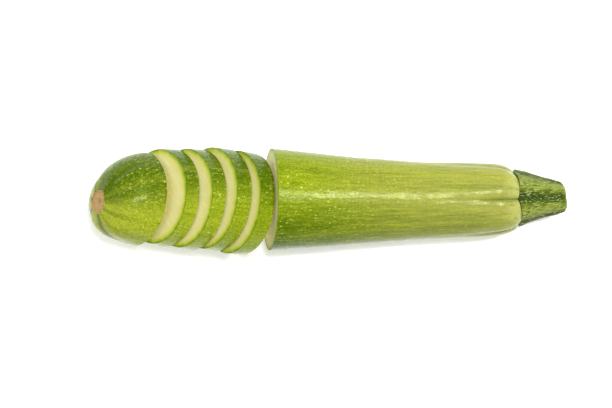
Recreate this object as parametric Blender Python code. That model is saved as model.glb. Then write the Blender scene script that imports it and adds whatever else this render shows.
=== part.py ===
"""A courgette that has been partly sliced and left lying as it was cut.

The fruit lies along X, blossom end towards -X and stem towards +X, on the plane
Z = 0.  A cap with the blossom scar and four slices have been cut off.  They have
toppled towards the uncut rest of the fruit and lean on it like dominoes.

Every piece of fruit is cut out of one and the same skin surface, so the widths
and the ribs run on from piece to piece.  Stations along the fruit are counted
from the blossom scar.  All dimensions below are in millimetres and degrees.
"""

import math

import bmesh
import bpy
from mathutils import Matrix, Vector

MM = 0.001

# The whole fruit: skin radius at stations along its length.
SKIN_PROFILE = (
    (0.0, 6.2), (0.8, 9.0), (2.2, 12.2), (4.6, 15.1), (8.1, 18.0), (14.1, 20.7),
    (22.6, 22.9), (32.1, 24.1), (42.1, 24.7), (51.1, 24.9), (57.1, 24.6), (71.1, 23.4),
    (91.1, 21.6), (111.1, 20.1), (126.1, 19.1), (141.1, 18.4), (156.1, 17.9),
    (164.1, 17.3), (169.1, 16.4), (172.8, 15.0), (175.5, 13.5),
)
RIB_COUNT = 5
RIB_DEPTH_MIDDLE = 0.004
RIB_DEPTH_ENDS = 0.035
RIB_RUN_OUT = 22.0

# Where the knife went through.
CAP_LENGTH = 22.6
SLICE_THICKNESS = (8.2, 8.4, 8.5, 9.0)
SLICE_COUNT = len(SLICE_THICKNESS)
MAIN_START = CAP_LENGTH + sum(SLICE_THICKNESS)
FRUIT_LENGTH = 175.5

# How the uncut rest lies.  A lean is measured from upright, tops towards +X.
MAIN_CUT_X = -17.1
MAIN_CUT_Y = 2.3
MAIN_CUT_LEAN = 10.4
MAIN_CUT_TURN = -1.3
MAIN_BOW = 0.7

# How the slices lie, the first slice next to the cap.
RIGHT_LEAN = (41.5, 38.7, 36.3, 33.0)
LEFT_LEAN = (45.0, 41.5, 38.7, 35.5)
RIGHT_TURN = -8.3
LEFT_TURN = -7.3
SLICE_CENTRE_Y = (2.9, 2.1, 2.1, 0.1)

# How the cap lies.
CAP_LEAN = 40.5
CAP_TURN = -9.5
CAP_CENTRE_Y = 2.4
CAP_TIP_SWING = 4.2
CAP_SWING_POWER = 1.7

# Pieces that touch are this far apart.
CONTACT_GAP = 0.35

# The flat on which the uncut rest lies, and where the shoulder rises off the table.
BELLY_FLAT = 0.4
SHOULDER_START = 164.1

# The stem, from its foot on the shoulder to its cut end.
STEM_PROFILE = (
    (0.0, 13.4), (3.8, 12.6), (6.8, 11.7), (9.8, 10.6), (12.8, 9.8), (15.8, 9.1),
    (18.8, 8.4), (21.8, 7.5), (23.6, 6.7), (24.2, 6.0),
)
STEM_LENGTH = 24.2
STEM_RIDGE_DEPTH = 0.09
STEM_FOOT_Y = 0.7
STEM_SWAY = 0.3

SEGMENTS = 60
OVERSHOOT = 6.0
SHARP_EDGE = 40.0


def curve_value(points, x):
    """Height at x of a smooth curve through the given (x, height) points."""
    last = len(points) - 1
    x = min(max(x, points[0][0]), points[last][0])
    i = 0
    while i < last - 1 and x > points[i + 1][0]:
        i += 1
    (x0, y0), (x1, y1) = points[i], points[i + 1]
    slope0 = slope_at(points, i)
    slope1 = slope_at(points, i + 1)
    width = x1 - x0
    t = (x - x0) / width
    rise = y0 * (2 * t ** 3 - 3 * t ** 2 + 1) + y1 * (3 * t ** 2 - 2 * t ** 3)
    bend = slope0 * (t ** 3 - 2 * t ** 2 + t) + slope1 * (t ** 3 - t ** 2)
    return rise + width * bend


def slope_at(points, i):
    """Slope of the curve at its point i, from the points on either side."""
    before = points[max(i - 1, 0)]
    after = points[min(i + 1, len(points) - 1)]
    return (after[1] - before[1]) / (after[0] - before[0])


def rib_wave(angle):
    """+1 on a rib and -1 in a groove; a groove runs along the top, at angle 0."""
    return -math.cos(RIB_COUNT * angle)


def rib_depth(station):
    """The ribs stand out near both ends of the fruit and fade in the middle."""
    from_end = min(station, FRUIT_LENGTH - station)
    fade = max(0.0, 1.0 - from_end / RIB_RUN_OUT)
    return RIB_DEPTH_MIDDLE + (RIB_DEPTH_ENDS - RIB_DEPTH_MIDDLE) * fade ** 2


def skin_radius(station, angle):
    """Radius of the fruit's skin at a station, at an angle about its axis."""
    ribs = 1.0 + rib_depth(station) * rib_wave(angle)
    return curve_value(SKIN_PROFILE, station) * ribs


def leaning_frame(lean, turn):
    """Directions of a leaning cut face: up its slope, sideways, and to its left.

    The third one is the face's normal, which points towards the blossom end.
    """
    lean = math.radians(lean)
    turn = math.radians(turn)
    ahead = Vector((math.cos(turn), math.sin(turn), 0.0))
    upslope = ahead * math.sin(lean) + Vector((0.0, 0.0, math.cos(lean)))
    sideways = Vector((-math.sin(turn), math.cos(turn), 0.0))
    normal = Vector((0.0, 0.0, math.sin(lean))) - ahead * math.cos(lean)
    return upslope, sideways, normal


def reach(radius, frame, direction):
    """How far the rim of a disc in this frame stands out along a direction."""
    return radius * math.hypot(frame[0].dot(direction), frame[1].dot(direction))


def centre_on_plane(point, normal, y, z):
    """The place with this y and z that lies on the plane."""
    across = normal.y * (y - point.y) + normal.z * (z - point.z)
    return Vector((point.x - across / normal.x, y, z))


def ring(centre, upslope, sideways, radius_at):
    """One closed ring of points about a centre."""
    points = []
    for i in range(SEGMENTS):
        angle = 2 * math.pi * i / SEGMENTS
        outward = upslope * math.cos(angle) + sideways * math.sin(angle)
        points.append(centre + outward * radius_at(angle))
    return points


def loft(rings):
    """A closed body through the rings, with a flat face at either end."""
    bm = bmesh.new()
    loops = [[bm.verts.new(point * MM) for point in points] for points in rings]
    for near, far in zip(loops, loops[1:]):
        for i in range(SEGMENTS):
            j = (i + 1) % SEGMENTS
            bm.faces.new((near[i], near[j], far[j], far[i]))
    bm.faces.new(loops[0])
    bm.faces.new(loops[-1])
    bmesh.ops.recalc_face_normals(bm, faces=bm.faces)
    return bm


def cut(bm, point, normal):
    """Cut away what lies beyond the plane and close the cut with a flat face."""
    geometry = bm.verts[:] + bm.edges[:] + bm.faces[:]
    result = bmesh.ops.bisect_plane(
        bm, geom=geometry, dist=1e-7, plane_co=point * MM, plane_no=normal,
        clear_outer=True)
    rim = [item for item in result["geom_cut"] if isinstance(item, bmesh.types.BMEdge)]
    bmesh.ops.edgeloop_fill(bm, edges=rim)
    bmesh.ops.recalc_face_normals(bm, faces=bm.faces)


def lower_to_table(bm):
    """Set the body down so that its lowest point is at Z = 0."""
    lowest = min(vertex.co.z for vertex in bm.verts)
    bmesh.ops.translate(bm, verts=bm.verts, vec=(0.0, 0.0, -lowest))


def finish(bm, name, material):
    """Turn the body into a named object with its material."""
    mesh = bpy.data.meshes.new(name)
    bm.to_mesh(mesh)
    bm.free()
    mesh.shade_smooth()
    mesh.set_sharp_from_angle(angle=math.radians(SHARP_EDGE))
    mesh.materials.append(material)
    piece = bpy.data.objects.new(name, mesh)
    bpy.context.scene.collection.objects.link(piece)
    return piece


def plain_material(name, colour, roughness):
    """A Principled material of one colour."""
    material = bpy.data.materials.new(name)
    material.use_nodes = True
    shader = material.node_tree.nodes["Principled BSDF"]
    shader.inputs["Base Color"].default_value = (*colour, 1.0)
    shader.inputs["Roughness"].default_value = roughness
    shader.inputs["Metallic"].default_value = 0.0
    return material


def main_axis(station):
    """Centre of the uncut rest at a station; it lies along X with its belly down."""
    along = (station - MAIN_START) / (FRUIT_LENGTH - MAIN_START)
    bow = MAIN_BOW * 4 * along * (1 - along)
    height = curve_value(SKIN_PROFILE, min(station, SHOULDER_START)) - BELLY_FLAT
    return Vector((MAIN_CUT_X + station - MAIN_START, MAIN_CUT_Y - bow, height))


def main_cut():
    """A point on the uncut rest's cut face and the face's frame."""
    return main_axis(MAIN_START), leaning_frame(MAIN_CUT_LEAN, MAIN_CUT_TURN)


def build_main_piece(material):
    """The uncut rest: skin rings along its axis, a cut face and a flat belly."""
    up = Vector((0.0, 0.0, 1.0))
    across = Vector((0.0, 1.0, 0.0))
    stations = [MAIN_START + OVERSHOOT * i for i in range(-1, 18)]
    stations += [SHOULDER_START + rise for rise in (0.0, 3.0, 5.0, 7.0, 8.7, 10.2)]
    stations.append(FRUIT_LENGTH)
    rings = []
    for station in stations:
        rings.append(ring(main_axis(station), up, across,
                          lambda angle: skin_radius(station, angle)))
    bm = loft(rings)
    centre, frame = main_cut()
    cut(bm, centre, frame[2])
    cut(bm, Vector((0.0, 0.0, 0.0)), -up)
    return finish(bm, "main_piece", material)


def slice_faces(number, right_centre):
    """Both cut faces of a slice, each as its centre and its frame, right face first."""
    right = leaning_frame(RIGHT_LEAN[number], RIGHT_TURN)
    left = leaning_frame(LEFT_LEAN[number], LEFT_TURN)
    through = ((right[2] + left[2]) / 2).normalized()
    left_centre = right_centre + through * SLICE_THICKNESS[number]
    return (right_centre, right), (left_centre, left)


def lean_on(point, normal, lean, turn, radius, y):
    """Centre of a disc that stands on the table and leans on the plane, a gap away."""
    frame = leaning_frame(lean, turn)
    standoff = normal * (reach(radius, frame, normal) + CONTACT_GAP)
    return centre_on_plane(point + standoff, normal, y, radius * math.cos(math.radians(lean)))


def place_slices():
    """Lean each slice on the one after it, from the uncut rest back to the cap."""
    faces = [None] * SLICE_COUNT
    behind, frame = main_cut()
    for number in reversed(range(SLICE_COUNT)):
        station = CAP_LENGTH + sum(SLICE_THICKNESS[:number + 1])
        centre = lean_on(behind, frame[2], RIGHT_LEAN[number], RIGHT_TURN,
                         curve_value(SKIN_PROFILE, station), SLICE_CENTRE_Y[number])
        faces[number] = slice_faces(number, centre)
        behind, frame = faces[number][1]
    return faces


def build_slice(number, faces, material):
    """One slice: a short stretch of the fruit between two knife cuts.

    The cuts are not quite parallel, so the slice is thicker at its foot.
    """
    (right_centre, right), (left_centre, left) = faces
    through = (left_centre - right_centre).normalized()
    sideways = right[1]
    upslope = sideways.cross(through).normalized()
    sideways = through.cross(upslope)
    right_station = CAP_LENGTH + sum(SLICE_THICKNESS[:number + 1])
    rings = []
    for offset in (-3.0, 0.0, 3.0, 6.0, 9.0, 12.0):
        station = right_station - offset
        rings.append(ring(right_centre + through * offset, upslope, sideways,
                          lambda angle: skin_radius(station, angle)))
    bm = loft(rings)
    cut(bm, right_centre, -right[2])
    cut(bm, left_centre, left[2])
    lower_to_table(bm)
    return finish(bm, "slice_%d" % (number + 1), material)


def build_blossom_end(face, material):
    """The cap: a dome that swings a little to one side and ends in a flat scar.

    It stands on the rim of its cut and touches the first slice's foot.
    """
    upslope, sideways, normal = leaning_frame(CAP_LEAN, CAP_TURN)
    radius = curve_value(SKIN_PROFILE, CAP_LENGTH)
    face_centre, face_frame = face
    standoff = normal * (reach(radius, face_frame, normal) + CONTACT_GAP)
    centre = centre_on_plane(face_centre + standoff, normal, CAP_CENTRE_Y,
                             radius * math.cos(math.radians(CAP_LEAN)))
    rings = []
    for station in (CAP_LENGTH, 21.0, 17.5, 14.0, 11.0, 8.0, 5.5, 3.5, 2.0, 0.9, 0.3, 0.0):
        swing = CAP_TIP_SWING * (1.0 - station / CAP_LENGTH) ** CAP_SWING_POWER
        ring_centre = centre + normal * (CAP_LENGTH - station) - sideways * swing
        rings.append(ring(ring_centre, upslope, sideways,
                          lambda angle: skin_radius(station, angle)))
    bm = loft(rings)
    lower_to_table(bm)
    return finish(bm, "blossom_end", material)


def build_stem(material):
    """The stem: five ridges that flare out onto the shoulder at the foot."""
    foot = main_axis(FRUIT_LENGTH) + Vector((CONTACT_GAP, STEM_FOOT_Y, 0.0))
    up = Vector((0.0, 0.0, 1.0))
    across = Vector((0.0, 1.0, 0.0))
    rings = []
    for along in (0.0, 1.8, 3.8, 6.8, 9.8, 12.8, 15.8, 18.8, 21.8, 23.6, STEM_LENGTH):
        centre = foot + Vector((along, STEM_SWAY * along / STEM_LENGTH, 0.0))
        rings.append(ring(centre, up, across,
                          lambda angle: curve_value(STEM_PROFILE, along)
                          * (1.0 + STEM_RIDGE_DEPTH * rib_wave(angle))))
    return finish(loft(rings), "stem", material)


def centre_on_origin(pieces):
    """Move every piece so that the row's box stands centred on the origin."""
    corners = [vertex.co for piece in pieces for vertex in piece.data.vertices]
    middle_x = (min(c.x for c in corners) + max(c.x for c in corners)) / 2
    middle_y = (min(c.y for c in corners) + max(c.y for c in corners)) / 2
    shift = Matrix.Translation((-middle_x, -middle_y, 0.0))
    for piece in pieces:
        piece.data.transform(shift)


def build():
    for old in list(bpy.data.objects):
        bpy.data.objects.remove(old)
    faces = place_slices()
    pieces = [
        build_main_piece(plain_material("green_skin", (0.30, 0.42, 0.06), 0.35)),
        build_stem(plain_material("green_stem", (0.10, 0.17, 0.04), 0.7)),
        build_blossom_end(faces[0][1], plain_material("cap_skin", (0.19, 0.31, 0.03), 0.35)),
    ]
    for number in range(SLICE_COUNT):
        flesh = plain_material("flesh_%d" % (number + 1), (0.75, 0.68, 0.29), 0.5)
        pieces.append(build_slice(number, faces[number], flesh))
    centre_on_origin(pieces)


build()
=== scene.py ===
# %% [markdown]
# # A partly sliced courgette
#
# This file dresses up a plain model of a courgette that a cook has begun to slice.  A cap with
# the blossom scar and four slices are cut off and lean on the uncut rest, which still has its
# stem.  The plain model gives every size and place; here each piece is modelled again, finely,
# and gets skin, flesh, cork and stem materials.  The plain model stays hidden underneath.
#
# The whole trick of the file is this: every fruit piece is first modelled *in the uncut fruit*,
# lying straight along X.  It remembers where each of its points was in that fruit, and only then
# is it moved to where it lies.  The materials read the remembered place, so the streaks and the
# flecks of the skin run along each leaning slice, just as they do on the real thing.

# %% Load the frame
import math
import bmesh
import bpy
from mathutils import Matrix, Vector, noise


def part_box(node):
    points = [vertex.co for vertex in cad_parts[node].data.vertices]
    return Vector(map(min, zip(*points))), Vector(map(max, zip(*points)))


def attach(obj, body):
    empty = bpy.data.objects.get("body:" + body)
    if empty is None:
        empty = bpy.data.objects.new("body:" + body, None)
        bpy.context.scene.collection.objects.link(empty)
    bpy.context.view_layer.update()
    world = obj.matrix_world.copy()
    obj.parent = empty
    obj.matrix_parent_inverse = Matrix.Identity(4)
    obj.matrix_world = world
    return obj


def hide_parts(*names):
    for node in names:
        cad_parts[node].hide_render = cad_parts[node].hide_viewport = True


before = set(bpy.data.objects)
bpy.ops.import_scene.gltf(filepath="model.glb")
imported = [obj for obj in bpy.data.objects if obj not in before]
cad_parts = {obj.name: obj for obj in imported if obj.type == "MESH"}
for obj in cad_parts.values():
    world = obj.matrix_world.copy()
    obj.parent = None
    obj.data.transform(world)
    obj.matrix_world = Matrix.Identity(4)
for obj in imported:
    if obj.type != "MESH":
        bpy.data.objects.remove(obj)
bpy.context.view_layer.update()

# %% [markdown]
# ## The fruit's outline
#
# A courgette is nearly a turned shape: round, widest a third of the way along, narrowing towards
# the stem.  Its skin can be written as one radius for each station along the fruit.  A handful of
# measured widths with a smooth curve through them is easier to change than a drawn profile, and
# the same curve serves the cap, every slice and the rest, so they always fit each other.

# %% Skin radius at stations along the fruit
MM = 0.001
SKIN_PROFILE = (
    (0.0, 6.2), (0.8, 9.0), (2.2, 12.2), (4.6, 15.1), (8.1, 18.0), (14.1, 20.7),
    (22.6, 22.9), (32.1, 24.1), (42.1, 24.7), (51.1, 24.9), (57.1, 24.6), (71.1, 23.4),
    (91.1, 21.6), (111.1, 20.1), (126.1, 19.1), (141.1, 18.4), (156.1, 17.9),
    (164.1, 17.4), (169.1, 16.7), (172.6, 15.5), (174.6, 14.1), (175.5, 13.0),
)
CAP_LENGTH = 22.6
SLICE_THICKNESS = (8.2, 8.4, 8.5, 9.0)
MAIN_START = CAP_LENGTH + sum(SLICE_THICKNESS)
FRUIT_LENGTH = 175.5


def curve_value(points, x):
    """Height at x of a smooth curve through (x, height) points."""
    last = len(points) - 1
    x = min(max(x, points[0][0]), points[last][0])
    i = 0
    while i < last - 1 and x > points[i + 1][0]:
        i += 1
    (x0, y0), (x1, y1) = points[i], points[i + 1]
    before, after = points[max(i - 1, 0)], points[min(i + 2, last)]
    slope0 = (y1 - before[1]) / (x1 - before[0])
    slope1 = (after[1] - y0) / (after[0] - x0)
    width = x1 - x0
    t = (x - x0) / width
    rise = y0 * (2 * t ** 3 - 3 * t ** 2 + 1) + y1 * (3 * t ** 2 - 2 * t ** 3)
    return rise + width * (slope0 * (t ** 3 - 2 * t ** 2 + t) + slope1 * (t ** 3 - t ** 2))


def smooth_step(low, high, x):
    """0 below low, 1 above high and a soft rise between them."""
    t = min(max((x - low) / (high - low), 0.0), 1.0)
    return t * t * (3 - 2 * t)


print("fruit before slicing:", FRUIT_LENGTH, "mm long")

# %% [markdown]
# ## Ribs, creases and small lumps
#
# The skin isn't perfectly round.  Five flat lobes swell round the stem with narrow grooves between
# them, one groove running back along the top, and creases run from the corners of the blossom
# scar.  Between the two ends the skin only has slow, shallow lumps.  These are real shapes, which
# catch the light and bend the outline, so they go in the mesh and not in a bump texture.

# %% Relief of the skin
LOBES = 5
SHOULDER_START = 164.1
CREASE_DEPTH = 0.9
# The skin stays this far inside the plain model, in mm, so that its lumps don't stand out.
SKIN_INSET = 0.12
# Each crease: degrees round from the top, half its width in degrees, and its share of the depth.
CREASES = ((62, 6.5, 1.0), (17, 6.0, 0.45), (-26, 7.0, 0.55), (-82, 8.0, 0.95),
           (-140, 8.0, 0.7), (135, 8.0, 0.7), (176, 9.0, 0.6))


def lobe(angle):
    """1 on the crown of a lobe, 0 in the groove; one groove is on top, at angle 0."""
    return abs(math.sin(LOBES * angle / 2)) ** 0.7


def around(angle, centre):
    """Degrees from one angle to another, the short way round."""
    return (math.degrees(angle) - centre + 180) % 360 - 180


def crease(station, angle):
    """1 in the deepest crease next to the blossom scar, 0 on smooth skin."""
    fade = 1 - smooth_step(1, 24, station)
    widening = 1 + 0.5 * (1 - smooth_step(0, 8, station))
    total = 0.0
    for centre, width, share in CREASES:
        away = around(angle, centre) / (width * widening)
        total += share * math.exp(-away * away)
    return total * fade


def groove(station, angle):
    """1 in the grooves at either end of the fruit, where the skin material paints shade."""
    near_stem = smooth_step(132, 172, station)
    return crease(station, angle) + 0.8 * near_stem * (1 - lobe(angle)) ** 2


def skin_radius(station, angle):
    """Radius of the skin in mm, with its ribs, creases and lumps."""
    radius = curve_value(SKIN_PROFILE, station)
    shoulder = smooth_step(115, 172, station)
    radius *= 1 + (0.004 + 0.090 * shoulder ** 2) * (lobe(angle) - 0.65)
    radius -= CREASE_DEPTH * crease(station, angle) * smooth_step(-0.5, 2.5, station)
    place = Vector((station * 0.05, math.cos(angle) * 1.3, math.sin(angle) * 1.3))
    radius += 0.24 * noise.noise(place)
    radius += 0.06 * noise.noise(place * 4.0)
    return radius - SKIN_INSET


print("groove on top of the shoulder, mm:",
      round(skin_radius(170, 0.63) - skin_radius(170, 0.0), 2))

# %% [markdown]
# ## Where each piece lies
#
# The plain model already says where each piece lies, so nothing is placed by eye.  A cut face is
# flat and large, so its triangles all share one normal: adding up areas by normal finds the cut
# faces of a node, with their middles and directions.

# %% Read the cut faces from the plain model


def flat_faces(node):
    """The flat faces of a plain node as (middle, normal), the largest face first."""
    groups = {}
    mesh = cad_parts[node].data
    for face in mesh.polygons:
        key = tuple(round(part, 2) for part in face.normal)
        area, middle, normal = groups.get(key, (0.0, Vector(), Vector()))
        groups[key] = (area + face.area, middle + face.center * face.area,
                       normal + face.normal * face.area)
    largest_first = sorted(groups.values(), key=lambda group: -group[0])
    return [(middle / area, normal.normalized())
            for area, middle, normal in largest_first if area > 0]


def level_frame(normal):
    """Directions on a leaning face: up its slope, and level to its side."""
    sideways = Vector((0, 0, 1)).cross(normal).normalized()
    if sideways.y < 0:
        sideways.negate()
    upslope = normal.cross(sideways).normalized()
    if upslope.z < 0:
        upslope.negate()
    return upslope, sideways


for name in ("blossom_end", "slice_1", "slice_4", "main_piece"):
    normal = flat_faces(name)[0][1]
    lean = math.degrees(math.asin(abs(normal.z)))
    print(name, "cut face leans", round(lean, 1), "degrees")

# %% [markdown]
# ## Modelling helpers
#
# Every fruit piece starts as a cylinder primitive along X that is subdivided along its length and
# then shaped by the skin radius.  Operators act on all that is selected, so the helpers deselect
# first and then pick edges and faces by their place.

# %% Helpers for shaping by hand
ON_PLANE = 1e-6


def deselect_all():
    """Nothing selected and object mode on."""
    if bpy.context.object and bpy.context.object.mode != "OBJECT":
        bpy.ops.object.mode_set(mode="OBJECT")
    bpy.ops.object.select_all(action="DESELECT")


def edit(piece, kind):
    """Edit mode on one piece with nothing selected, in VERT, EDGE or FACE mode."""
    deselect_all()
    bpy.context.view_layer.objects.active = piece
    piece.select_set(True)
    bpy.ops.object.mode_set(mode="EDIT")
    bpy.ops.mesh.select_mode(type=kind)
    bpy.ops.mesh.select_all(action="DESELECT")
    return bmesh.from_edit_mesh(piece.data)


def straight_blank(name, length, sides, cuts):
    """A unit-radius cylinder along X from 0 to length, subdivided along its length."""
    deselect_all()
    bpy.ops.mesh.primitive_cylinder_add(
        vertices=sides, radius=1.0, depth=length, end_fill_type="NGON",
        location=(length / 2, 0, 0), rotation=(0, math.radians(90), 0))
    piece = bpy.context.object
    piece.name = name
    piece.data.name = name
    bpy.ops.object.transform_apply(location=True, rotation=True, scale=True)
    bm = edit(piece, "EDGE")
    for edge in bm.edges:
        edge.select = abs(edge.verts[0].co.x - edge.verts[1].co.x) > length / 2
    bpy.ops.mesh.subdivide(number_cuts=cuts)
    bpy.ops.object.mode_set(mode="OBJECT")
    return piece


def rings_inward(piece, normal, middle, fractions):
    """Divide the large flat face that looks along normal into rings about its middle.

    The face is extruded in place and shrunk, ring after ring, so every ring keeps the
    shape of the outline, and the last one is closed with a fan of triangles.
    """
    bm = edit(piece, "FACE")
    facing = [f for f in bm.faces if f.normal.dot(normal) > 0.999]
    face = max(facing, key=lambda f: f.calc_area())
    face.select = True
    bm.select_flush_mode()
    bmesh.update_edit_mesh(piece.data)
    size = 1.0
    for fraction in fractions:
        shrink = fraction / size
        size = fraction
        bpy.ops.mesh.extrude_region()
        bpy.ops.transform.resize(value=(shrink, shrink, shrink), center_override=middle)
    bpy.ops.mesh.poke()
    bpy.ops.object.mode_set(mode="OBJECT")


def knife(piece, point, normal):
    """Cut the piece with a plane, drop what lies beyond it and close the cut."""
    edit(piece, "FACE")
    bpy.ops.mesh.select_all(action="SELECT")
    bpy.ops.mesh.bisect(plane_co=point, plane_no=normal, use_fill=True,
                        clear_outer=True, threshold=1e-7)
    bpy.ops.object.mode_set(mode="OBJECT")


def shape_skin(piece, first_station, stretch=1.0):
    """Give the blank the fruit's width: the skin radius at each point's station and angle."""
    length = max(v.co.x for v in piece.data.vertices)
    for vertex in piece.data.vertices:
        along = max(vertex.co.x / length, 0.0) ** stretch * length
        station = first_station + along / MM
        angle = math.atan2(vertex.co.y, vertex.co.z)
        radius = skin_radius(station, angle) * MM
        vertex.co = (station * MM, math.sin(angle) * radius, math.cos(angle) * radius)


print("helpers ready")

# %% [markdown]
# ## Remembering the uncut fruit
#
# Three attributes on each point carry what the materials need.  `whole` is the point's place in the
# uncut fruit, in millimetres, and the skin's pattern reads it.  `groove` is high in the creases, and
# darkens them with painted shade.  `depth` is how far the point lies under the skin.  The cut faces
# read it for the green rind ring, which then follows the outline of every cut whatever its shape.

# %% Attributes for the materials
SHARP_EDGE = math.radians(35)


def as_is(point):
    """For a piece that still lies in the uncut fruit."""
    return point


def store(piece, name, kind, values):
    """Store one value, or three in a row for a vector, on every point of the piece."""
    attribute = piece.data.attributes.new(name, kind, "POINT")
    attribute.data.foreach_set("vector" if kind == "FLOAT_VECTOR" else "value", values)


def remember(piece, twist=0.0, back=as_is):
    """Store each point's place in the uncut fruit, its depth in mm and its groove.

    back() gives the place in the uncut fruit of a piece that is already laid down.  A
    twist turns the pattern about the fruit, because the slices rolled a little.
    """
    places, depths, grooves = [], [], []
    turn = Matrix.Rotation(math.radians(twist), 3, "X")
    for vertex in piece.data.vertices:
        place = back(vertex.co) / MM
        x, y, z = place
        angle = math.atan2(y, z)
        places.extend(turn @ place)
        depths.append(max(skin_radius(x, angle) - math.hypot(y, z), 0.0))
        grooves.append(groove(x, angle))
    store(piece, "whole", "FLOAT_VECTOR", places)
    store(piece, "depth", "FLOAT", depths)
    store(piece, "groove", "FLOAT", grooves)


def lay_down(piece, place):
    """Move every point from the uncut fruit to where the piece lies."""
    for vertex in piece.data.vertices:
        vertex.co = place(vertex.co)
    piece.data.update()


def finish_piece(piece, node):
    """Smooth the skin, keep the cuts crisp, hang the piece on the root body and hide its plain node.
    """
    deselect_all()
    piece.select_set(True)
    bpy.context.view_layer.objects.active = piece
    bpy.ops.object.shade_smooth_by_angle(angle=SHARP_EDGE)
    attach(piece, "root")
    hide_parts(node)
    print(piece.name, len(piece.data.polygons), "faces")


print("memory ready")

# %% [markdown]
# ## Node helpers for the materials
#
# The materials are built from nodes.  A few small helpers keep the wiring readable: one adds a
# node with its settings and inputs, others stand for the usual patterns.  Colours are written as
# the familiar 0 to 255 values and turned into the linear light values that the shader needs.

# %% Node helpers


def colour(red, green, blue):
    """A shader colour from 0 to 255 values."""
    linear = []
    for part in (red, green, blue):
        part /= 255
        linear.append(part / 12.92 if part <= 0.04045 else ((part + 0.055) / 1.055) ** 2.4)
    return (*linear, 1.0)


class Shader:
    """A material under construction: add() makes a node and wires its inputs."""

    def __init__(self, name):
        self.material = bpy.data.materials.new(name)
        self.material.use_nodes = True
        self.tree = self.material.node_tree
        self.skin = self.tree.nodes["Principled BSDF"]

    def wire(self, node, inputs):
        """Set the node's inputs: a socket is linked, and anything else is its value."""
        for key, value in inputs.items():
            socket = node.inputs[key]
            if isinstance(value, bpy.types.NodeSocket):
                self.tree.links.new(value, socket)
            else:
                socket.default_value = value

    def add(self, kind, inputs=None, out=0, **settings):
        node = self.tree.nodes.new(kind)
        for key, value in settings.items():
            setattr(node, key, value)
        self.wire(node, inputs or {})
        return node.outputs[out]

    def math(self, operation, a, b=0.0):
        return self.add("ShaderNodeMath", {0: a, 1: b}, operation=operation)

    def attribute(self, name, out="Fac"):
        return self.add("ShaderNodeAttribute", out=out, attribute_name=name)

    def stretched(self, vector, scale):
        return self.add("ShaderNodeVectorMath", {0: vector, 1: scale}, operation="MULTIPLY")

    def noise(self, vector, detail=2.0, roughness=0.5):
        inputs = {"Vector": vector, "Scale": 1.0, "Detail": detail, "Roughness": roughness}
        return self.add("ShaderNodeTexNoise", inputs)

    def between(self, value, low, high, to_low=0.0, to_high=1.0):
        """A soft step from to_low, where value is low, to to_high, where it is high."""
        inputs = {"Value": value, "From Min": low, "From Max": high,
                  "To Min": to_low, "To Max": to_high}
        return self.add("ShaderNodeMapRange", inputs, interpolation_type="SMOOTHSTEP")

    def mix(self, factor, a, b):
        """Colour a, replaced by b where the factor is 1."""
        node = self.tree.nodes.new("ShaderNodeMix")
        node.data_type = "RGBA"
        for socket, value in ((node.inputs[0], factor), (node.inputs[6], a), (node.inputs[7], b)):
            if isinstance(value, bpy.types.NodeSocket):
                self.tree.links.new(value, socket)
            else:
                socket.default_value = value
        return node.outputs[2]

    def ramp(self, value, stops):
        """A colour ramp through (position, colour) stops."""
        node = self.tree.nodes.new("ShaderNodeValToRGB")
        self.wire(node, {"Fac": value})
        elements = node.color_ramp.elements
        while len(elements) < len(stops):
            elements.new(0.5)
        for element, (position, tint) in zip(elements, stops):
            element.position = position
            element.color = tint
        return node.outputs["Color"]

    def bump(self, height, strength, distance):
        inputs = {"Height": height, "Strength": strength, "Distance": distance}
        return self.add("ShaderNodeBump", inputs)


print("node helpers ready")

# %% [markdown]
# ## The skin
#
# Courgette skin is thin, waxy and never one green.  It is darkest round the blossom end and turns
# paler and yellower towards the stem, and one flank of the fruit is darker than the other.  Over
# that lie fine streaks along the fruit, a pebbly mesh of tiny cells, and pale flecks the size of a
# pinhead, which are rounder near the middle and drawn out to dashes near the stem.  Each of these is
# one pattern, read at its own scale from the uncut fruit.

# %% Skin material
WAX_TINT = (0.95, 1.0, 0.66, 1.0)
DARK_FLANK_SIDE = (0.0, -0.97, 0.26)
TURNS_PALE = (50.0, 150.0)


def flecks(shader, place, size, share, biggest, spread):
    """Pale dots: one in each cell of a scattered grid, of random size, some left out.

    size is the grid's cell in mm, share the part of the cells with a dot, biggest the
    largest dot as a part of its cell, and spread how much a dot is drawn out.
    """
    cells = shader.stretched(place, (1 / (size * spread), 1 / size, 1 / size))
    inputs = {"Vector": cells, "Scale": 1.0, "Randomness": 1.0}
    distance = shader.add("ShaderNodeTexVoronoi", inputs, out="Distance")
    tint = shader.add("ShaderNodeTexVoronoi", inputs, out="Color")
    dice = shader.add("ShaderNodeSeparateColor", {"Color": tint}, out="Red")
    radius = shader.between(dice, 1 - share, 1.0, 0.0, biggest)
    edge = shader.math("SUBTRACT", radius, distance)
    return shader.between(edge, -0.03, 0.10)


def darker_flank_and_stripes(shader, place, station, base):
    """A darker flank on one side of the fruit, with broad stripes and patches round the fruit."""
    flat = shader.stretched(place, (0.0, 1.0, 1.0))
    outward = shader.add("ShaderNodeVectorMath", {0: flat}, operation="NORMALIZE")
    dark_flank = shader.add("ShaderNodeVectorMath", {0: outward, 1: DARK_FLANK_SIDE},
                       out="Value", operation="DOT_PRODUCT")
    dark_flank = shader.between(dark_flank, 0.05, 0.90)
    dark_flank = shader.math("MULTIPLY", dark_flank, shader.between(station, *TURNS_PALE, 0.95, 0.14))
    base = shader.mix(dark_flank, base, colour(62, 90, 0))
    stripe = shader.noise(shader.add("ShaderNodeVectorMath", {
        0: shader.stretched(outward, (2.2, 2.2, 2.2)),
        1: shader.stretched(place, (0.012, 0.0, 0.0))}, operation="ADD"), detail=3.0)
    base = shader.mix(shader.between(stripe, 0.52, 0.70, 0.0, 0.40), base, colour(72, 98, 4))
    return shader.mix(shader.between(stripe, 0.48, 0.30, 0.0, 0.30), base, colour(160, 168, 52))


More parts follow.
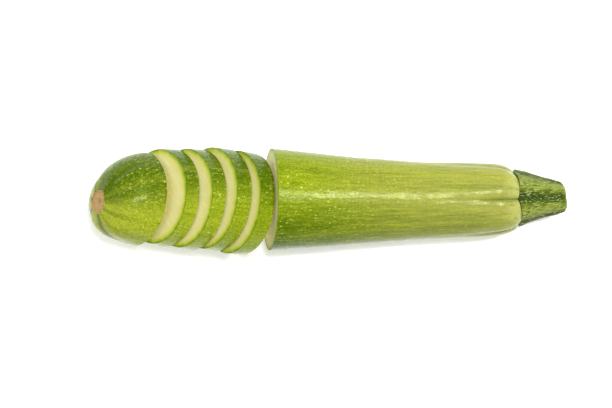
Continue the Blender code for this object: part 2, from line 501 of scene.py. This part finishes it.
def pale_dots(shader, place):
    """The pale flecks, in three sizes: 1 in the middle of the clearest ones."""
    dot = flecks(shader, place, 2.5, 0.50, 0.21, 1.25)
    dash = flecks(shader, place, 1.4, 0.75, 0.28, 1.6)
    speck = flecks(shader, place, 1.0, 0.70, 0.34, 1.6)
    dots = shader.math("MAXIMUM", shader.math("MULTIPLY", dot, 0.78),
                       shader.math("MULTIPLY", dash, 0.50))
    return shader.math("MAXIMUM", dots, shader.math("MULTIPLY", speck, 0.22))


def make_skin():
    """Waxy skin: green to pale along the fruit, streaked, pebbled and flecked, with painted shade in
    the creases.
    """
    shader = Shader("courgette_skin")
    place = shader.attribute("whole", "Vector")
    station = shader.add("ShaderNodeSeparateXYZ", {"Vector": place}, out="X")
    along = shader.math("DIVIDE", station, FRUIT_LENGTH)
    base = shader.ramp(along, (
        (0.00, colour(170, 176, 54)), (0.13, colour(162, 174, 40)),
        (0.28, colour(134, 153, 16)), (0.42, colour(140, 154, 26)),
        (0.62, colour(142, 146, 56)), (0.85, colour(149, 151, 70)),
        (0.95, colour(154, 153, 74)), (1.00, colour(188, 187, 112))))
    base = darker_flank_and_stripes(shader, place, station, base)

    # Fine streaks along the fruit.
    streak = shader.noise(shader.stretched(place, (0.05, 0.9, 0.9)), detail=4.0, roughness=0.6)
    base = shader.mix(shader.between(streak, 0.52, 0.70, 0.0, 0.50), base, colour(172, 182, 56))
    base = shader.mix(shader.between(streak, 0.48, 0.30, 0.0, 0.45), base, colour(84, 104, 8))

    # The pebbly mesh of cells, fine enough to read as a weave.
    cells = shader.stretched(place, (0.55, 0.95, 0.95))
    pebble = shader.add("ShaderNodeTexVoronoi", {"Vector": cells, "Scale": 1.0},
                        out="Distance", feature="DISTANCE_TO_EDGE")
    grain = shader.noise(shader.stretched(place, (0.6, 1.1, 1.1)), detail=2.0)
    strength = shader.between(station, *TURNS_PALE, 0.38, 0.12)
    net = shader.math("MULTIPLY", shader.between(pebble, 0.20, 0.04), strength)
    base = shader.mix(net, base, colour(60, 84, 0))
    base = shader.mix(shader.between(grain, 0.46, 0.72, 0.0, 0.20), base, colour(172, 190, 40))

    # Pale flecks, and painted shade in the creases and grooves: dark green where groove is high.
    dots = pale_dots(shader, place)
    fade = shader.between(station, 60.0, 150.0, 0.85, 0.28)
    base = shader.mix(shader.math("MULTIPLY", dots, fade), base, colour(210, 216, 108))
    painted_crease_shade = shader.between(shader.attribute("groove"), 0.08, 0.95, 0.0, 0.75)
    base = shader.mix(painted_crease_shade, base, colour(66, 88, 0))

    ripple = shader.noise(shader.stretched(place, (0.28, 0.55, 0.55)), detail=1.0)
    height = shader.math("MULTIPLY", shader.between(pebble, 0.0, 0.25), 0.10)
    height = shader.math("ADD", height, shader.math("MULTIPLY", dots, 0.10))
    height = shader.math("ADD", height, shader.math("MULTIPLY", streak, 0.45))
    height = shader.math("ADD", height, ripple)
    shader.wire(shader.skin, {
        "Base Color": base, "Roughness": shader.between(grain, 0.3, 0.7, 0.17, 0.25),
        "Normal": shader.bump(height, 0.5, 0.0002),
        "IOR": 1.42, "Specular IOR Level": 0.155, "Specular Tint": WAX_TINT,
        "Subsurface Weight": 0.06, "Subsurface Scale": 0.002,
        "Subsurface Radius": (1.0, 1.0, 0.3)})
    return shader.material


skin_material = make_skin()
print("skin nodes:", len(skin_material.node_tree.nodes))

# %% [markdown]
# ## The cut flesh
#
# A cut face shows a hairline of dark skin, a band of bright green rind that fades over two or
# three millimetres, and moist, pale yellow flesh.  Towards the middle the flesh is looser and holds
# soft seeds, yellowish round their edges.  The knife leaves faint streaks.  Wet flesh lets light
# in, so it gets some subsurface scattering and a smoother surface than the skin.

# %% Flesh material


def make_flesh():
    """Moist flesh: green rind at the skin, pale yellow inside, seeds towards the middle."""
    shader = Shader("courgette_flesh")
    place = shader.attribute("whole", "Vector")
    depth = shader.attribute("depth")
    seed = shader.attribute("seed")
    wobble = shader.noise(shader.stretched(place, (0.3, 0.3, 0.3)), detail=2.0)
    depth = shader.math("ADD", depth, shader.between(wobble, 0.3, 0.7, -0.25, 0.25))

    base = shader.ramp(shader.math("DIVIDE", depth, 6.0), (
        (0.00, colour(78, 108, 2)), (0.06, colour(112, 144, 6)), (0.15, colour(146, 170, 20)),
        (0.28, colour(184, 190, 70)), (0.48, colour(208, 203, 122)),
        (1.00, colour(216, 209, 142))))

    fibre = shader.noise(shader.stretched(place, (0.5, 0.9, 0.12)), detail=3.0)
    inside = shader.between(depth, 2.0, 5.0)
    pale = shader.math("MULTIPLY", shader.between(fibre, 0.45, 0.75, 0.0, 0.4), inside)
    base = shader.mix(pale, base, colour(238, 232, 170))
    speck = shader.noise(shader.stretched(place, (1.5, 1.5, 1.5)), detail=2.0)
    base = shader.mix(shader.between(speck, 0.5, 0.3, 0.0, 0.25), base, colour(206, 200, 112))

    # The looser middle with its seeds.
    core = shader.between(depth, 8.5, 12.5, 0.0, 0.20)
    base = shader.mix(core, base, colour(224, 208, 112))
    rim = shader.math("MULTIPLY", shader.between(seed, 0.05, 0.30),
                      shader.between(seed, 0.62, 0.38))
    base = shader.mix(shader.math("MULTIPLY", rim, 0.55), base, colour(230, 204, 76))
    base = shader.mix(shader.between(seed, 0.45, 0.65, 0.0, 0.5), base, colour(236, 226, 160))

    cut = shader.noise(shader.stretched(place, (0.8, 1.6, 0.10)), detail=2.0)
    height = shader.math("ADD", cut, shader.math("MULTIPLY", speck, 0.5))
    shader.wire(shader.skin, {
        "Base Color": base, "Roughness": shader.between(speck, 0.3, 0.7, 0.34, 0.5),
        "Normal": shader.bump(height, 0.3, 0.0002),
        "IOR": 1.4, "Specular IOR Level": 0.2,
        "Subsurface Weight": 0.25, "Subsurface Scale": 0.003,
        "Subsurface Radius": (1.0, 0.9, 0.4)})
    return shader.material


flesh_material = make_flesh()
print("flesh nodes:", len(flesh_material.node_tree.nodes))

# %% [markdown]
# ## Seeds on a cut face
#
# In a courgette the seeds hang in three pairs of rows round the middle.  Where the knife passes, it
# shows them as pale drops that point to the centre.  Painting them as a soft value on the points of
# the face is enough: the same value colours them and lifts them a little out of the flesh.

# %% Seeds
SEED_LENGTH = 3.0
SEED_WIDTH = 1.25
SEED_RISE = 0.05
FLESH_SWELL = 0.05
KNIFE_RIPPLE = 0.03
RIND_WIDTH = 0.2


def seed_places(number):
    """Middles of the seeds on cut face number, as (angle, radius in mm)."""
    places = []
    for lobe_index in range(3):
        centre = lobe_index * 120 + 20 + 9 * number
        for side, radius in ((-38, 9.5), (-21, 11.6), (-7, 9.2), (9, 11.9), (24, 9.0), (40, 10.8)):
            shift = noise.noise(Vector((side * 0.3, number * 3.7, lobe_index * 5.1)))
            places.append((math.radians(centre + side + 7 * shift), radius + 1.6 * shift))
    return places


def seed_value(y, z, places):
    """1 in the middle of a seed, falling to 0 at its edge."""
    best = 0.0
    for angle, radius in places:
        inward = Vector((math.sin(angle), math.cos(angle)))
        away = Vector((y, z)) - inward * radius
        along = away.dot(inward)
        across = away.dot(Vector((inward.y, -inward.x)))
        taper = SEED_WIDTH * (1 + 0.25 * along / SEED_LENGTH)
        best = max(best, 1 - math.hypot(along / SEED_LENGTH, across / taper))
    return best


def paint_seeds(piece, faces, back=as_is, ripple=KNIFE_RIPPLE):
    """Store the seed value of each point on the cut faces and raise the seeds a little.

    faces lists each cut face of the piece as (its number, its middle, its normal), and
    back() gives the place in the uncut fruit of a piece that is already laid down.
    """
    values = [0.0] * len(piece.data.vertices)
    for number, middle, normal in faces:
        places = seed_places(number)
        for vertex in piece.data.vertices:
            if abs((vertex.co - middle).dot(normal)) > ON_PLANE:
                continue
            x, y, z = back(vertex.co) / MM
            seed = seed_value(y, z, places)
            values[vertex.index] = seed
            below = skin_radius(x, math.atan2(y, z)) - math.hypot(y, z)
            swell = FLESH_SWELL * smooth_step(0.3, 8, below)
            swell += ripple * noise.noise(Vector((y * 0.8, z * 0.15, number)))
            swell += SEED_RISE * smooth_step(0.2, 0.6, seed)
            if below > RIND_WIDTH:
                vertex.co += normal * swell * MM
    store(piece, "seed", "FLOAT", values)


print("seeds on a face:", len(seed_places(0)))

# %% [markdown]
# ## Slices
#
# A slice is a short stretch of the fruit between two knife cuts.  By hand it is quickest to model a
# longer stretch, bisect it with both planes and let the fill close it.  The filled faces are one
# big polygon each, so they are divided into rings, which gives them points for the seeds and for
# the slight swelling of wet flesh.

# %% Build the slices
SIDES = 192
FACE_RINGS = [0.995, 0.985, 0.97, 0.95, 0.92, 0.89] + [0.86 - 0.03 * i for i in range(28)]
SLICE_TWIST = (146, 152, 149, 143)
SLICE_CUTS = 26
SPARE_LENGTH = 5


def slice_place(node, number):
    """The matrix that lays a slice down, and its cut faces in the uncut fruit."""
    right, left = sorted(flat_faces(node)[:2], key=lambda face: face[1].z)
    through = (left[0] - right[0]).normalized()
    sideways = level_frame(right[1])[1]
    upslope = sideways.cross(through).normalized()
    sideways = through.cross(upslope)
    station = (CAP_LENGTH + sum(SLICE_THICKNESS[:number])) * MM
    turn = Matrix((-through, sideways, upslope)).transposed().to_4x4()
    place = Matrix.Translation(right[0]) @ turn @ Matrix.Translation((-station, 0, 0))
    back = place.inverted()
    cuts = [(back @ middle, (back.to_3x3() @ normal).normalized())
            for middle, normal in (right, left)]
    return place, cuts


def paint_skin_and_flesh(piece, cuts):
    """Skin on the outside, flesh on the cut faces."""
    piece.data.materials.clear()
    piece.data.materials.append(skin_material)
    piece.data.materials.append(flesh_material)
    for face in piece.data.polygons:
        for middle, normal in cuts:
            on_plane = abs((face.center - middle).dot(normal)) < 2 * ON_PLANE
            if on_plane and abs(face.normal.dot(normal)) > 0.99:
                face.material_index = 1


def build_slice(number):
    """One slice: a stretch of the fruit, cut on both sides, painted and laid down."""
    node = "slice_%d" % number
    place, cuts = slice_place(node, number)
    first = cuts[1][0].x / MM - SPARE_LENGTH
    length = cuts[0][0].x / MM + SPARE_LENGTH - first
    piece = straight_blank("courgette_" + node, length * MM, SIDES, SLICE_CUTS)
    shape_skin(piece, first)
    for middle, normal in cuts:
        knife(piece, middle, normal)
    for middle, normal in cuts:
        rings_inward(piece, normal, middle, FACE_RINGS)
    faces = [(2 * number + i, middle, normal) for i, (middle, normal) in enumerate(cuts)]
    paint_skin_and_flesh(piece, cuts)
    paint_seeds(piece, faces)
    remember(piece, SLICE_TWIST[number - 1])
    lay_down(piece, lambda point: place @ point)
    finish_piece(piece, node)


for slice_number in range(1, 1 + len(SLICE_THICKNESS)):
    build_slice(slice_number)

# %% [markdown]
# ## The blossom scar
#
# Where the flower dropped off, the fruit healed with a patch of tan cork, roughly six-sided because
# the creases pull at its corners.  Cork is dry and matt, cracked and finely grained, with a darker
# rim and a small darker middle.

# %% Cork material


def make_cork():
    """Dry tan cork with a darker rim and middle, finely grained and cracked."""
    shader = Shader("blossom_scar_cork")
    place = shader.attribute("whole", "Vector")
    spread = shader.add("ShaderNodeVectorMath", {0: shader.stretched(place, (0.0, 1.0, 1.0))},
                        out="Value", operation="LENGTH")
    grain = shader.noise(shader.stretched(place, (2.0, 2.0, 2.0)), detail=5.0, roughness=0.65)
    base = shader.ramp(shader.math("DIVIDE", spread, 6.6), (
        (0.00, colour(128, 88, 40)), (0.14, colour(172, 138, 76)), (0.45, colour(188, 156, 98)),
        (0.80, colour(178, 144, 84)), (0.95, colour(126, 84, 36)), (1.00, colour(104, 78, 24))))
    base = shader.mix(shader.between(grain, 0.42, 0.66, 0.0, 0.55), base, colour(208, 182, 130))
    base = shader.mix(shader.between(grain, 0.48, 0.30, 0.0, 0.60), base, colour(120, 82, 40))
    crack = shader.add("ShaderNodeTexVoronoi", {
        "Vector": shader.stretched(place, (0.9, 0.9, 0.9)), "Scale": 1.0},
        out="Distance", feature="DISTANCE_TO_EDGE")
    base = shader.mix(shader.between(crack, 0.10, 0.0, 0.0, 0.4), base, colour(128, 86, 50))
    height = shader.math("ADD", grain, shader.between(crack, 0.0, 0.15))
    shader.wire(shader.skin, {
        "Base Color": base, "Roughness": shader.between(grain, 0.3, 0.7, 0.75, 0.95),
        "Normal": shader.bump(height, 0.6, 0.0003), "Specular IOR Level": 0.3})
    return shader.material


cork_material = make_cork()
print("cork nodes:", len(cork_material.node_tree.nodes))

# %% [markdown]
# ## The cap
#
# The cap is the same skin, closed by the scar.  Its radius grows fastest at the tip, so the rings of
# the blank are crowded towards the scar before they are shaped.  The tip of this fruit swings a
# little to one side; sliding each ring sideways by a growing amount does that.

# %% Build the cap
SCAR_CORNERS = ((-24, 6.3), (64, 6.5), (135, 7.0), (176, 7.0), (219, 6.2), (280, 6.3))
CAP_TIP_SWING = 4.2
CAP_SWING_POWER = 1.7
CAP_TWIST = 136
CAP_CUTS = 70
CAP_FACE = 1
CROWD_TO_TIP = 1.9
SCAR_RADIUS = 6.2
SCAR_BLEND = 3.5
SCAR_RINGS = [0.97, 0.93] + [0.88 - 0.07 * i for i in range(12)]


def scar_radius(angle):
    """Distance in mm from the scar's middle to its straight-sided edge."""
    degrees = (math.degrees(angle) - SCAR_CORNERS[0][0]) % 360 + SCAR_CORNERS[0][0]
    corners = [*SCAR_CORNERS, (SCAR_CORNERS[0][0] + 360, SCAR_CORNERS[0][1])]
    for (left, near), (right, far) in zip(corners, corners[1:]):
        if left <= degrees <= right:
            a, b = math.radians(degrees - left), math.radians(right - degrees)
            return near * far * math.sin(a + b) / (near * math.sin(a) + far * math.sin(b))
    return SCAR_CORNERS[0][1]


def square_up_scar(piece):
    """Blend the round tip of the cap into the scar's corners."""
    for vertex in piece.data.vertices:
        station = vertex.co.x / MM
        angle = math.atan2(vertex.co.y, vertex.co.z)
        share = scar_radius(angle) / SCAR_RADIUS
        share += (1 - share) * smooth_step(0.0, SCAR_BLEND, station)
        vertex.co.y *= share
        vertex.co.z *= share


def scar_relief(y, z):
    """How far the scar's surface sinks below its rim, in mm."""
    spread = math.hypot(y, z) / scar_radius(math.atan2(y, z))
    dish = 0.45 * smooth_step(1.0, 0.75, spread)
    dimple = 0.35 * smooth_step(0.3, 0.05, spread)
    grain = 0.16 * noise.noise(Vector((y * 0.9, z * 0.9, 3.0)))
    grain += 0.08 * noise.noise(Vector((y * 2.6, z * 2.6, 7.0)))
    return dish + dimple + grain * smooth_step(1.0, 0.85, spread)


def build_cap():
    """The cap: skin closed by the scar, cut, painted and leaned against the slices."""
    middle, normal = flat_faces("blossom_end")[0]
    upslope, sideways = level_frame(normal)
    piece = straight_blank("courgette_cap", CAP_LENGTH * MM, SIDES, CAP_CUTS)
    shape_skin(piece, 0.0, stretch=CROWD_TO_TIP)
    square_up_scar(piece)
    cut = (Vector((CAP_LENGTH * MM, 0, 0)), Vector((1, 0, 0)))
    scar = (Vector((0, 0, 0)), Vector((-1, 0, 0)))
    rings_inward(piece, cut[1], cut[0], FACE_RINGS)
    rings_inward(piece, scar[1], scar[0], SCAR_RINGS)
    paint_skin_and_flesh(piece, [cut])
    piece.data.materials.append(cork_material)
    for face in piece.data.polygons:
        if face.center.x < ON_PLANE:
            face.material_index = 2
    paint_seeds(piece, [(CAP_FACE, *cut)])
    for vertex in piece.data.vertices:
        if vertex.co.x < ON_PLANE:
            vertex.co.x += scar_relief(vertex.co.y / MM, vertex.co.z / MM) * MM
    remember(piece, CAP_TWIST)

    def place(point):
        station = point.x / MM
        swing = CAP_TIP_SWING * max(0.0, 1 - station / CAP_LENGTH) ** CAP_SWING_POWER
        out = (CAP_LENGTH - station) * MM
        return middle - normal * out + upslope * point.z + sideways * (point.y - swing * MM)

    lay_down(piece, place)
    finish_piece(piece, "blossom_end")


build_cap()

# %% [markdown]
# ## The uncut rest
#
# The rest of the fruit lies on its belly with its cut face towards the slices.  Its axis follows
# the same rule as in the plain model: high where the fruit is thick, and bowed a little sideways.
# The blank is laid down first here, because the table under the belly and the knife are both flat
# in the world and not in the fruit.

# %% Build the uncut rest
MAIN_CUT_X = -17.1
MAIN_CUT_Y = 2.3
MAIN_BOW = 0.7
BELLY_FLAT = 0.4
CONTACT_GAP = 0.35
STEM_LENGTH = 24.2
STEM_FOOT_Y = 0.7
STEM_SWAY = 0.3
LIP_WAVE = 0.8
LIP_SLANT = math.tan(math.radians(5.0))
LIP_START = 163
REST_SPARE = 7
REST_CUTS = 190
REST_FACE = 11
SEAT_RINGS = [0.97, 0.93, 0.86, 0.76, 0.6, 0.4, 0.2]
SEAT_DEPTH = 0.8


def main_axis(station):
    """Centre of the fruit at a station, in mm, before the row is centred."""
    along = (station - MAIN_START) / (FRUIT_LENGTH - MAIN_START)
    height = curve_value(SKIN_PROFILE, min(station, SHOULDER_START)) - BELLY_FLAT
    return Vector((MAIN_CUT_X + station - MAIN_START,
                   MAIN_CUT_Y - MAIN_BOW * 4 * along * (1 - along), height))


stem_low, stem_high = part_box("stem")
stem_end = main_axis(FRUIT_LENGTH) + Vector((CONTACT_GAP + STEM_LENGTH, STEM_FOOT_Y, 0))
row_shift = Vector((stem_high.x / MM - stem_end.x,
                    (stem_low.y + stem_high.y) / 2 / MM - stem_end.y, 0))
print("the row is centred by a shift of", [round(part, 2) for part in row_shift], "mm")


def to_world(point):
    """From the uncut fruit to where the uncut rest lies."""
    station = point.x / MM
    return (main_axis(station) + row_shift) * MM + Vector((0, point.y, point.z))


def to_fruit(point):
    """The way back, for a point of the uncut rest."""
    station = point.x / MM - row_shift.x - MAIN_CUT_X + MAIN_START
    centre = (main_axis(station) + row_shift) * MM
    return Vector((station * MM, point.y - centre.y, point.z - centre.z))


def lip(y, angle):
    """How far the end of the shoulder stands out or back, in mm: lobes and a slant."""
    return LIP_WAVE * (2 * lobe(angle) - 1.2) - LIP_SLANT * y


def build_main():
    """The uncut rest: laid on its belly first, then cut by the table and the knife."""
    first = MAIN_START - REST_SPARE
    piece = straight_blank("courgette_rest", (FRUIT_LENGTH - first) * MM, SIDES, REST_CUTS)
    shape_skin(piece, first)
    end = Vector((FRUIT_LENGTH * MM, 0, 0))
    rings_inward(piece, Vector((1, 0, 0)), end, SEAT_RINGS)
    for vertex in piece.data.vertices:
        station = vertex.co.x / MM
        angle = math.atan2(vertex.co.y, vertex.co.z)
        spread = math.hypot(vertex.co.y, vertex.co.z) / (skin_radius(FRUIT_LENGTH, angle) * MM)
        rise = lip(vertex.co.y / MM, angle) * smooth_step(LIP_START, FRUIT_LENGTH, station)
        if station > FRUIT_LENGTH - 0.01:
            rise *= smooth_step(0.2, 1.0, spread)
            rise -= SEAT_DEPTH * smooth_step(1.0, 0.8, spread)
        vertex.co.x += rise * MM
    lay_down(piece, to_world)
    middle, normal = flat_faces("main_piece")[0]
    knife(piece, middle, normal)
    knife(piece, Vector((0, 0, 0)), Vector((0, 0, -1)))
    rings_inward(piece, normal, middle, FACE_RINGS)
    paint_skin_and_flesh(piece, [(middle, normal)])
    paint_seeds(piece, [(REST_FACE, middle, normal)], to_fruit, ripple=0.0)
    remember(piece, 0.0, to_fruit)
    finish_piece(piece, "main_piece")


build_main()

# %% [markdown]
# ## The stem
#
# The stem is a tough, five-ridged stalk.  Its ridges flare out where they grip the shoulder, and its
# colour has painted shade in the hollows between them and painted light on the ridges.  The surface
# is fibrous: rough lines run along it with small pale scratches.  It was snapped or cut, so its end
# is flat, paler at the rim and pithy inside.

# %% Stem material


def make_stem_skin():
    """Fibrous green, with painted shade in the hollows between the ridges, painted light on the
    ridges and pale scratches.
    """
    shader = Shader("stem_skin")
    place = shader.attribute("whole", "Vector")
    ridge = shader.attribute("ridge")
    fibre = shader.noise(shader.stretched(place, (0.16, 1.1, 1.1)), detail=5.0, roughness=0.65)
    scratch = shader.noise(shader.stretched(place, (0.35, 2.2, 2.2)), detail=3.0)
    patch = shader.noise(shader.stretched(place, (0.15, 0.3, 0.3)), detail=2.0)
    level = shader.math("ADD", ridge, shader.between(fibre, 0.3, 0.7, -0.25, 0.25))
    # Painted shade in the hollows between the ridges and painted light on the ridges, by ridge
    # height.
    base = shader.ramp(level, (
        (0.00, colour(40, 60, 0)), (0.35, colour(60, 80, 2)), (0.60, colour(92, 108, 20)),
        (0.85, colour(122, 136, 42)), (1.00, colour(136, 148, 56))))
    base = shader.mix(shader.between(patch, 0.45, 0.7, 0.0, 0.4), base, colour(66, 90, 12))
    base = shader.mix(shader.between(fibre, 0.48, 0.32, 0.0, 0.75), base, colour(34, 54, 0))
    base = shader.mix(shader.between(scratch, 0.56, 0.66, 0.0, 0.75), base, colour(180, 188, 120))
    station = shader.add("ShaderNodeSeparateXYZ", {"Vector": place}, out="X")
    rim = shader.between(station, STEM_LENGTH - 1.2, STEM_LENGTH - 0.2, 0.0, 0.6)
    base = shader.mix(rim, base, colour(158, 168, 86))
    height = shader.math("ADD", shader.math("MULTIPLY", fibre, 1.4), scratch)
    shader.wire(shader.skin, {
        "Base Color": base, "Roughness": shader.between(fibre, 0.3, 0.7, 0.5, 0.75),
        "Normal": shader.bump(height, 0.8, 0.0005), "Specular IOR Level": 0.3,
        "Specular Tint": WAX_TINT})
    return shader.material


def make_pith():
    """The stem's cut end: pale pith inside a green rim."""
    shader = Shader("stem_pith")
    place = shader.attribute("whole", "Vector")
    spread = shader.add("ShaderNodeVectorMath", {0: shader.stretched(place, (0.0, 1.0, 1.0))},
                        out="Value", operation="LENGTH")
    grain = shader.noise(shader.stretched(place, (1.5, 1.5, 1.5)), detail=4.0)
    base = shader.ramp(shader.math("DIVIDE", spread, 8.0), (
        (0.0, colour(150, 150, 80)), (0.45, colour(176, 180, 112)), (0.75, colour(150, 168, 84)),
        (0.92, colour(176, 192, 110)), (1.0, colour(90, 120, 40))))
    base = shader.mix(shader.between(grain, 0.45, 0.7, 0.0, 0.6), base, colour(120, 116, 60))
    shader.wire(shader.skin, {
        "Base Color": base, "Roughness": shader.between(grain, 0.3, 0.7, 0.7, 0.9),
        "Normal": shader.bump(grain, 0.6, 0.0004), "Specular IOR Level": 0.3})
    return shader.material


stem_material = make_stem_skin()
pith_material = make_pith()
print("stem nodes:", len(stem_material.node_tree.nodes))

# %% Build the stem
STEM_PROFILE = (
    (0.0, 13.3), (1.8, 13.1), (3.8, 12.5), (6.8, 11.6), (9.8, 10.6), (12.8, 9.8),
    (15.8, 9.1), (18.8, 8.4), (21.8, 7.5), (23.6, 6.9), (24.2, 6.3),
)
STEM_CUTS = 90
FOOT_REACH = 0.25
FOOT_RINGS = [0.9, 0.75, 0.5, 0.25]
END_RINGS = [0.97, 0.93] + [0.87 - 0.08 * i for i in range(10)]
END_SLANT = math.tan(math.radians(6.5))
END_SLANT_START = 17
FOOT_BLEND = 7


def ridge_height(angle):
    """1 on a ridge, 0 in the middle of the hollow between two ridges."""
    return abs(math.sin(LOBES * angle / 2)) ** 1.3


def stem_radius(along, angle):
    """Radius of the stem in mm: taper, ridges and coarse fibres."""
    depth = 0.20 - 0.06 * smooth_step(0, 8, along)
    radius = curve_value(STEM_PROFILE, along) * (1 + depth * (ridge_height(angle) - 0.55))
    place = Vector((along * 0.10, math.cos(angle) * 5.0, math.sin(angle) * 5.0))
    radius += 0.30 * noise.noise(place)
    radius += 0.16 * noise.noise(place * 2.7)
    lumps = Vector((along * 0.25, math.cos(angle) * 2.0, math.sin(angle) * 2.0 + 9))
    return radius + 0.30 * noise.noise(lumps)


def end_relief(y, z, spread):
    """How far the stem's cut end sinks below its rim, in mm."""
    dish = 0.5 * smooth_step(1.0, 0.7, spread)
    grain = 0.25 * noise.noise(Vector((y * 0.7, z * 0.7, 1.0)))
    return dish + grain * smooth_step(1.0, 0.9, spread)


def build_stem():
    """The stem: ridged, fitted to the shoulder's lip and cut a little out of square."""
    piece = straight_blank("courgette_stem", STEM_LENGTH * MM, SIDES, STEM_CUTS)
    foot = (Vector((0, 0, 0)), Vector((-1, 0, 0)))
    end = (Vector((STEM_LENGTH * MM, 0, 0)), Vector((1, 0, 0)))
    for vertex in piece.data.vertices:
        along = vertex.co.x / MM
        angle = math.atan2(vertex.co.y, vertex.co.z)
        radius = stem_radius(along, angle) * MM
        vertex.co.y = math.sin(angle) * radius
        vertex.co.z = math.cos(angle) * radius
    rings_inward(piece, foot[1], foot[0], FOOT_RINGS)
    rings_inward(piece, end[1], end[0], END_RINGS)
    piece.data.materials.clear()
    piece.data.materials.append(stem_material)
    piece.data.materials.append(pith_material)
    for face in piece.data.polygons:
        if face.center.x > (STEM_LENGTH - 0.001) * MM:
            face.material_index = 1
    places, ridges = [], []
    base = (main_axis(FRUIT_LENGTH) + row_shift) * MM
    base += Vector((CONTACT_GAP - FOOT_REACH, STEM_FOOT_Y, 0)) * MM
    for vertex in piece.data.vertices:
        along = vertex.co.x / MM
        y, z = vertex.co.y / MM, vertex.co.z / MM
        angle = math.atan2(y, z)
        places.extend((along, y, z))
        ridges.append(ridge_height(angle))
        spread = math.hypot(y, z) / stem_radius(along, angle)
        if along > STEM_LENGTH - 0.01:
            vertex.co.x -= end_relief(y, z, spread) * MM
        rise = lip(y, angle) * smooth_step(FOOT_BLEND, 0, along) * smooth_step(0.2, 1.0, spread)
        slant = smooth_step(END_SLANT_START, STEM_LENGTH, along)
        rise -= END_SLANT * (y + STEM_PROFILE[-1][1]) * slant
        vertex.co.x += rise * MM
        vertex.co.y += STEM_SWAY * along / STEM_LENGTH * MM
        vertex.co += base
    store(piece, "whole", "FLOAT_VECTOR", places)
    store(piece, "ridge", "FLOAT", ridges)
    piece.data.update()
    finish_piece(piece, "stem")


build_stem()

# %% [markdown]
# ## Floor, light and camera
#
# The courgette lies on a plain white surface that glows a little, like a light table, so its shadows
# stay faint.  One panel overhead gives the soft streak of shine along the top, a small one to the
# right the glint on the leaning cap, and a broad, weak one on the left lights the cut faces.  The
# walls are kept dim, because waxy skin mirrors them.  The camera looks straight down through a
# long lens.

# %% Floor, light and camera
CAMERA_HEIGHT = 0.700
CAMERA_LENS = 82.84
SENSOR_WIDTH = 36.0
FLOOR_SIZE = 6.0
FLOOR_GLOW = 0.43
WALL_LIGHT = 0.30
WALL_TOP = 0.05
CEILING_LIGHT = 0.25
CEILING_START = 0.75
ROW_MIDDLE = (0.0, 0.0, 0.02)
ROW_LEFT = (-0.05, 0.0, 0.02)
# Each panel: name, place, what it faces, width and length in metres, power in watts.
PANELS = (
    ("key_panel", (0.10, 0.16, 0.93), ROW_MIDDLE, (0.20, 0.19), 6.2),
    ("spark_panel", (0.37, 0.17, 0.87), ROW_LEFT, (0.09, 0.09), 4.7),
    ("fill_panel", (-0.70, 0.05, 0.65), ROW_MIDDLE, (0.80, 0.80), 2.4),
)


def build_floor():
    """The white surface, which glows a little so that shadows stay faint."""
    deselect_all()
    bpy.ops.mesh.primitive_plane_add(size=FLOOR_SIZE, location=(0, 0, 0))
    floor = bpy.context.object
    floor.name = "floor"
    shader = Shader("white_surface")
    shader.wire(shader.skin, {"Base Color": (0.90, 0.90, 0.895, 1.0), "Roughness": 0.9,
                              "Specular IOR Level": 0.1, "Emission Strength": FLOOR_GLOW,
                              "Emission Color": (1.0, 1.0, 0.99, 1.0)})
    floor.data.materials.append(shader.material)


def add_panel(name, location, target, size, power):
    """A soft light panel that faces a target."""
    deselect_all()
    bpy.ops.object.light_add(type="AREA", location=location)
    panel = bpy.context.object
    panel.name = name
    panel.data.shape = "RECTANGLE"
    panel.data.size, panel.data.size_y = size
    panel.data.energy = power
    panel.rotation_euler = (Vector(target) - Vector(location)).to_track_quat("-Z", "Y").to_euler()


def build_world():
    """A studio room that is a little brighter near the horizon than overhead."""
    world = bpy.data.worlds.new("studio")
    world.use_nodes = True
    tree = world.node_tree
    direction = tree.nodes.new("ShaderNodeTexCoord").outputs["Generated"]
    split = tree.nodes.new("ShaderNodeSeparateXYZ")
    tree.links.new(direction, split.inputs[0])
    ramp = tree.nodes.new("ShaderNodeValToRGB")
    tree.links.new(split.outputs["Z"], ramp.inputs["Fac"])
    first, last = ramp.color_ramp.elements
    first.position = WALL_TOP
    first.color = (WALL_LIGHT, WALL_LIGHT, WALL_LIGHT, 1.0)
    last.position = CEILING_START
    last.color = (CEILING_LIGHT, CEILING_LIGHT, CEILING_LIGHT, 1.0)
    tree.links.new(ramp.outputs["Color"], tree.nodes["Background"].inputs["Color"])
    return world


build_floor()
bpy.context.scene.world = build_world()
bpy.context.scene.view_settings.view_transform = "Standard"
for panel_facts in PANELS:
    add_panel(*panel_facts)

deselect_all()
bpy.ops.object.camera_add(location=(row_shift.x * MM, row_shift.y * MM, CAMERA_HEIGHT),
                          rotation=(0, 0, 0))
camera = bpy.context.object
camera.name = "camera"
camera.data.lens = CAMERA_LENS
camera.data.sensor_width = SENSOR_WIDTH
bpy.context.scene.camera = camera
print("camera straight above, lens", CAMERA_LENS, "mm")
